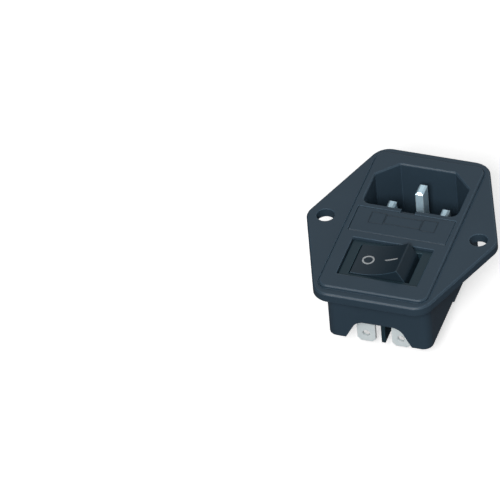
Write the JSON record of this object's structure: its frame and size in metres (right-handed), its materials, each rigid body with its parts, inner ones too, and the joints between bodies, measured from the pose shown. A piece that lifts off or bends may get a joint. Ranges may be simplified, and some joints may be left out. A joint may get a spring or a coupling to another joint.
{
  "type": "power inlet socket",
  "caption": "Panel power inlet: screw flange, shrouded pins, pull-out fuse drawer and rocker switch in one moulding, with push-on tabs behind.",
  "frame": {"origin": "midway between the two screw holes, on the flange's back face, which is the panel plane", "axes": "+Z out of the front face, +X from screw hole to screw hole, +Y towards the socket's cut corners"},
  "size_m": [0.0494, 0.0566, 0.0293],
  "materials": {
    "housing": "satin moulded",
    "drawer": "satin moulded",
    "switch": "satin moulded",
    "rocker": "satin moulded",
    "pin": "nickel plated",
    "tab": "tin plated",
    "clip": "spring bronze",
    "contact": "silver faced",
    "spring": "bright drawn wire",
    "fuse_cap": "nickel plated",
    "fuse_glass": "clear",
    "fuse_wire": "bright",
    "disc": "satin"
  },
  "bodies": {
    "socket": {"housing": "housing", "line_pin": "pin", "neutral_pin": "pin", "earth_pin": "pin", "neutral_tab": "tab", "fuse_tab": "tab", "earth_tab": "tab", "link_bar": "tab", "recess_disc": "disc", "line_clip": "clip", "load_clip": "clip", "switch_body": "switch", "fixed_terminal_inner": "tab", "fixed_terminal_outer": "tab", "common_terminal_inner": "tab", "common_terminal_outer": "tab", "fixed_contact_inner": "contact", "fixed_contact_outer": "contact"},
    "rocker": {"rocker": "rocker", "plunger_spring_inner": "spring", "plunger_spring_outer": "spring"},
    "inner_arm": {"contact_arm_inner": "clip", "moving_contact_inner": "contact"},
    "outer_arm": {"contact_arm_outer": "clip", "moving_contact_outer": "contact"},
    "inner_plunger": {"plunger_inner": "rocker"},
    "outer_plunger": {"plunger_outer": "rocker"},
    "drawer": {"fuse_drawer": "drawer", "live_fuse_glass": "fuse_glass", "live_fuse_wire": "fuse_wire", "live_fuse_cap_line": "fuse_cap", "live_fuse_cap_load": "fuse_cap", "spare_fuse_glass": "fuse_glass", "spare_fuse_wire": "fuse_wire", "spare_fuse_cap_line": "fuse_cap", "spare_fuse_cap_load": "fuse_cap"}
  },
  "joints": [
    {"name": "rocker_tilt", "type": "hinge", "parent": "socket", "child": "rocker", "pos_m": [0, -0.0139, -0.0021], "axis": [0, 1, 0], "range_deg": [0, 26]},
    {"name": "inner_arm_tilt", "type": "hinge", "parent": "socket", "child": "inner_arm", "pos_m": [0, -0.0097, -0.0095], "axis": [0, 1, 0], "range_deg": [-20, 0]},
    {"name": "outer_arm_tilt", "type": "hinge", "parent": "socket", "child": "outer_arm", "pos_m": [0, -0.0181, -0.0095], "axis": [0, 1, 0], "range_deg": [-20, 0]},
    {"name": "inner_plunger_slide", "type": "slide", "parent": "rocker", "child": "inner_plunger", "axis": [-0.225, 0, 0.9744], "range_m": [0, 0.0008], "stiffness_N_per_m": 200, "springref_m": -0.002, "deforming": ["plunger_spring_inner"]},
    {"name": "outer_plunger_slide", "type": "slide", "parent": "rocker", "child": "outer_plunger", "axis": [-0.225, 0, 0.9744], "range_m": [0, 0.0008], "stiffness_N_per_m": 200, "springref_m": -0.002, "deforming": ["plunger_spring_outer"]},
    {"name": "drawer_slide", "type": "slide", "parent": "socket", "child": "drawer", "axis": [0, 0, 1], "range_m": [0, 0.018]}
  ],
  "couplings": [
    {"joint": "inner_arm_tilt", "follows": "rocker_tilt", "ratio": -0.769},
    {"joint": "outer_arm_tilt", "follows": "rocker_tilt", "ratio": -0.769}
  ]
}
